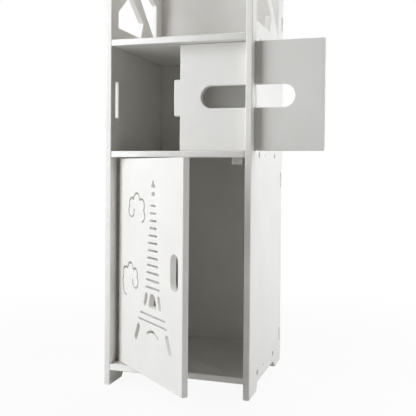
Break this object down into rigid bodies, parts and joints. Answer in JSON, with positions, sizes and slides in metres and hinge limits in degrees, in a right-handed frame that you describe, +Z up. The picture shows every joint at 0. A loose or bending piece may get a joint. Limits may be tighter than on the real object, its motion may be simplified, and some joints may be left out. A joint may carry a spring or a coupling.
{
  "type": "narrow floor cabinet with door and tissue compartment",
  "caption": "Slim white board cabinet with a stencilled hinged door, a sliding slotted front and lattice sides.",
  "frame": {"origin": "bottom front corner of the left side panel's outer face, on the floor", "axes": "+X to the right across the front, +Y from the front to the back, +Z up"},
  "size_m": [0.3169, 0.3175, 0.861],
  "materials": {
    "foam_board": "satin white skin, duller on cut edges",
    "steel": "zinc plated",
    "nylon": "natural nylon",
    "catch_plastic": "moulded, light grey",
    "ferrite": "sintered, dark grey"
  },
  "bodies": {
    "carcass": {"left_side_panel": "foam_board", "right_side_panel": "foam_board", "back_panel": "foam_board", "bottom_shelf": "foam_board", "middle_shelf": "foam_board", "upper_shelf": "foam_board", "top_board": "foam_board", "pivot_washer": "nylon", "catch_housing": "catch_plastic", "catch_magnet": "ferrite", "catch_pole_plates": "steel", "catch_screw": "steel", "left_shelf_screws": "steel", "right_shelf_screws": "steel", "left_panel_pins": "steel", "right_panel_pins": "steel"},
    "door": {"cupboard_door": "foam_board", "lower_pivot_pin": "steel", "upper_pivot_pin": "steel", "strike_plate": "steel", "strike_screw": "steel"},
    "front": {"sliding_front": "foam_board"}
  },
  "joints": [
    {"name": "door_hinge", "type": "hinge", "parent": "carcass", "child": "door", "pos_m": [0.0185, 0.0205, 0.18], "axis": [0, 0, -1], "range_deg": [-40.7, 61.3]},
    {"name": "front_slide", "type": "slide", "parent": "carcass", "child": "front", "axis": [1, 0, 0], "range_m": [-0.1004, 0.08]}
  ]
}
